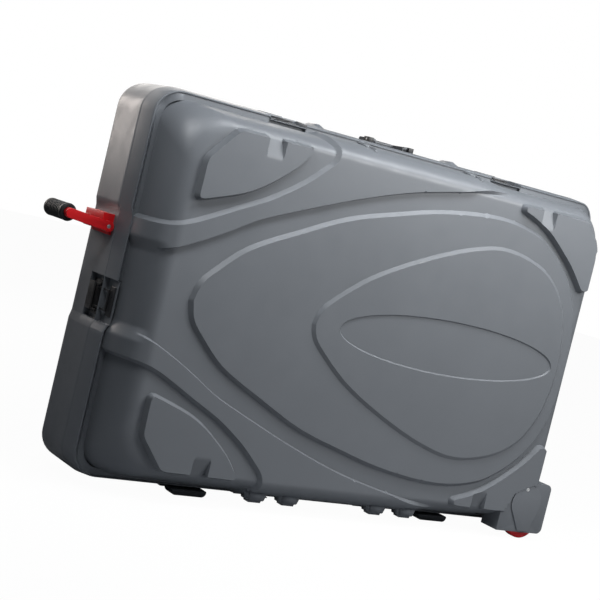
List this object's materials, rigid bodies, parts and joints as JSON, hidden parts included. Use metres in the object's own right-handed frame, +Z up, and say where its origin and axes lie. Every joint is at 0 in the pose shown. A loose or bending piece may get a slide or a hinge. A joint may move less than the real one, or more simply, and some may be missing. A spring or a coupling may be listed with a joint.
{
  "type": "bike travel case",
  "caption": "Hard-shell case for carrying a packed bicycle: two hinged moulded half shells with over-centre latches, a swinging pull handle and corner wheels.",
  "frame": {"origin": "middle of the part's box, on the ground under the feet and wheels", "axes": "+X along the case from the pull handle towards the wheels, +Y through its thickness towards the rear shell, +Z up with the case standing on its long narrow side"},
  "size_m": [1.3234, 0.292, 0.825],
  "materials": {
    "shell_plastic": "satin, fine moulded texture",
    "red_plastic": "semi-gloss red",
    "black_plastic": "matte black",
    "latch_plastic": "satin dark grey",
    "grip_rubber": "matte ribbed rubber",
    "foot_rubber": "matte",
    "red_tyre": "satin red",
    "steel": "plated",
    "foam": "open-cell foam",
    "webbing": "woven"
  },
  "bodies": {
    "rear_case": {"carry_handle_mounts": "black_plastic", "carry_handle_pins": "steel", "left_hinge_pin": "steel", "left_hinge_rear_leaf": "steel", "left_latch_base": "black_plastic", "left_strap": "webbing", "left_strap_buckle": "black_plastic", "pull_handle_base": "red_plastic", "pull_handle_pin": "steel", "pull_handle_screws": "steel", "rear_feet": "foot_rubber", "rear_foam": "foam", "rear_hinge_rivets": "steel", "rear_housing_screw": "steel", "rear_shell": "shell_plastic", "rear_wheel_axle": "steel", "rear_wheel_cover": "shell_plastic", "rear_wheel_housing": "shell_plastic", "right_hinge_pin": "steel", "right_hinge_rear_leaf": "steel", "right_latch_base": "black_plastic", "right_strap": "webbing", "right_strap_buckle": "black_plastic", "top_left_latch_base": "black_plastic", "top_right_latch_base": "black_plastic"},
    "front_case": {"front_shell": "shell_plastic", "front_foam": "foam", "front_feet": "foot_rubber", "front_hinge_rivets": "steel", "left_hinge_front_leaf": "steel", "right_hinge_front_leaf": "steel", "front_wheel_housing": "shell_plastic", "front_wheel_cover": "shell_plastic", "front_wheel_axle": "steel", "front_housing_screw": "steel", "left_latch_keeper": "steel", "right_latch_keeper": "steel", "top_left_latch_keeper": "steel", "top_right_latch_keeper": "steel"},
    "pull_handle": {"pull_handle_yoke": "red_plastic", "pull_handle_grip": "grip_rubber"},
    "carry_handle": {"carry_handle_bar": "black_plastic"},
    "rear_wheel": {"rear_wheel_hub": "black_plastic", "rear_wheel_tyre": "red_tyre"},
    "front_wheel": {"front_wheel_hub": "black_plastic", "front_wheel_tyre": "red_tyre"},
    "left_lever": {"left_latch_lever": "latch_plastic"},
    "left_bail": {"left_latch_bail": "steel"},
    "right_lever": {"right_latch_lever": "latch_plastic"},
    "right_bail": {"right_latch_bail": "steel"},
    "top_left_lever": {"top_left_latch_lever": "latch_plastic"},
    "top_left_bail": {"top_left_latch_bail": "steel"},
    "top_right_lever": {"top_right_latch_lever": "latch_plastic"},
    "top_right_bail": {"top_right_latch_bail": "steel"}
  },
  "joints": [
    {"name": "lid_hinge", "type": "hinge", "parent": "rear_case", "child": "front_case", "pos_m": [0, 0, 0.0091], "axis": [1, 0, 0], "range_deg": [0, 110]},
    {"name": "pull_handle_pivot", "type": "hinge", "parent": "rear_case", "child": "pull_handle", "pos_m": [-0.55932, 0.061, 0.514], "axis": [0, 1, 0], "range_deg": [-90, 65]},
    {"name": "carry_handle_pivot", "type": "hinge", "parent": "rear_case", "child": "carry_handle", "pos_m": [0.05668, 0.014, 0.82], "axis": [1, 0, 0], "range_deg": [0, 95]},
    {"name": "rear_wheel_spin", "type": "hinge", "parent": "rear_case", "child": "rear_wheel", "pos_m": [0.58868, 0.113, 0.046], "axis": [0, 1, 0], "continuous": true},
    {"name": "front_wheel_spin", "type": "hinge", "parent": "front_case", "child": "front_wheel", "pos_m": [0.58868, -0.113, 0.046], "axis": [0, 1, 0], "continuous": true},
    {"name": "left_lever_pivot", "type": "hinge", "parent": "rear_case", "child": "left_lever", "pos_m": [-0.54132, 0.016, 0.371], "axis": [0, 0, 1], "range_deg": [0, 90]},
    {"name": "left_bail_pivot", "type": "hinge", "parent": "left_lever", "child": "left_bail", "pos_m": [-0.53982, 0.028, 0.371], "axis": [0, 0, 1], "range_deg": [-90, 0]},
    {"name": "right_lever_pivot", "type": "hinge", "parent": "rear_case", "child": "right_lever", "pos_m": [0.65468, 0.016, 0.371], "axis": [0, 0, -1], "range_deg": [0, 90]},
    {"name": "right_bail_pivot", "type": "hinge", "parent": "right_lever", "child": "right_bail", "pos_m": [0.65318, 0.028, 0.371], "axis": [0, 0, -1], "range_deg": [-90, 0]},
    {"name": "top_left_lever_pivot", "type": "hinge", "parent": "rear_case", "child": "top_left_lever", "pos_m": [-0.24332, 0.016, 0.81], "axis": [1, 0, 0], "range_deg": [0, 90]},
    {"name": "top_left_bail_pivot", "type": "hinge", "parent": "top_left_lever", "child": "top_left_bail", "pos_m": [-0.24332, 0.028, 0.8085], "axis": [1, 0, 0], "range_deg": [-90, 0]},
    {"name": "top_right_lever_pivot", "type": "hinge", "parent": "rear_case", "child": "top_right_lever", "pos_m": [0.35668, 0.016, 0.81], "axis": [1, 0, 0], "range_deg": [0, 90]},
    {"name": "top_right_bail_pivot", "type": "hinge", "parent": "top_right_lever", "child": "top_right_bail", "pos_m": [0.35668, 0.028, 0.8085], "axis": [1, 0, 0], "range_deg": [-90, 0]}
  ],
  "couplings": [
    {"joint": "left_bail_pivot", "follows": "left_lever_pivot", "ratio": -1},
    {"joint": "right_bail_pivot", "follows": "right_lever_pivot", "ratio": -1},
    {"joint": "top_left_bail_pivot", "follows": "top_left_lever_pivot", "ratio": -1},
    {"joint": "top_right_bail_pivot", "follows": "top_right_lever_pivot", "ratio": -1}
  ]
}
